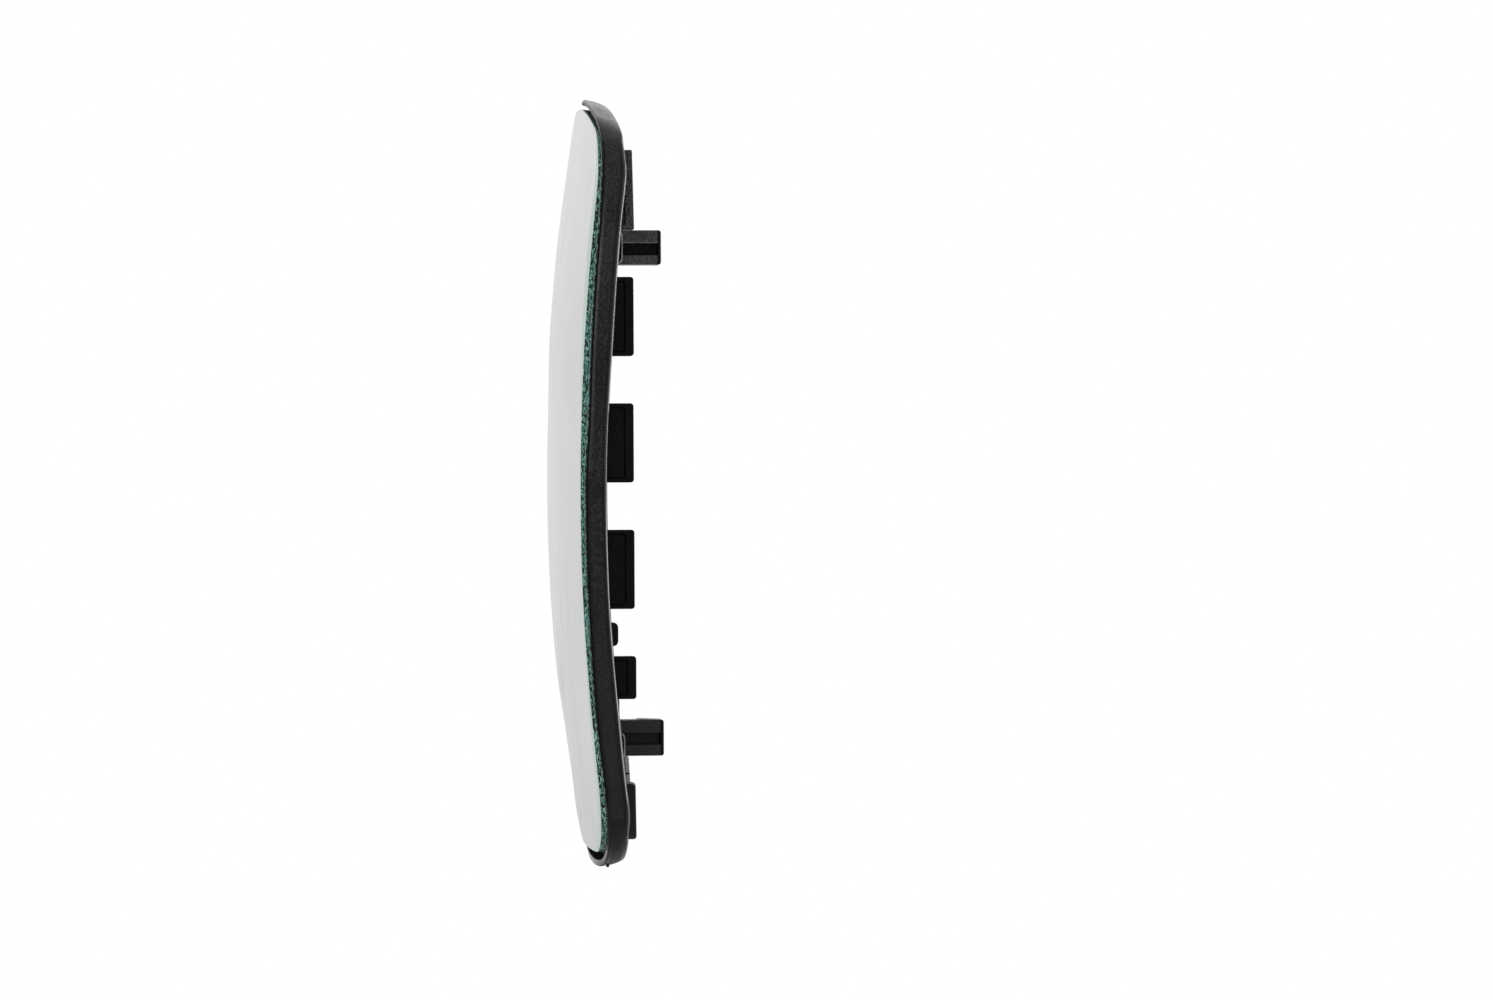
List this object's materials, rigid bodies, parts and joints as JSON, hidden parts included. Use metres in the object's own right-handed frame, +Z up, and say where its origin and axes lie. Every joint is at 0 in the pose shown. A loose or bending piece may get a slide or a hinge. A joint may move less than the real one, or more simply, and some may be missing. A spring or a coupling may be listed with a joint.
{
  "type": "car door mirror glass",
  "caption": "Convex door mirror glass with a ground edge, seated in a black moulded backing plate with castellated lugs, guide posts and an adjuster socket behind.",
  "frame": {"origin": "centre of the adjuster socket's mouth, behind the middle of the glass", "axes": "+X to the long straight side, +Y out of the back along the socket's axis so that the glass looks along -Y, +Z up the long side to the wide end"},
  "size_m": [0.1102, 0.0237, 0.1884],
  "materials": {
    "mirror_glass": "polished convex mirror with a ground green edge",
    "backing_plate": "satin black moulding with a fine grain"
  },
  "bodies": {
    "root": {"mirror_glass": "mirror_glass", "backing_plate": "backing_plate"}
  },
  "joints": []
}
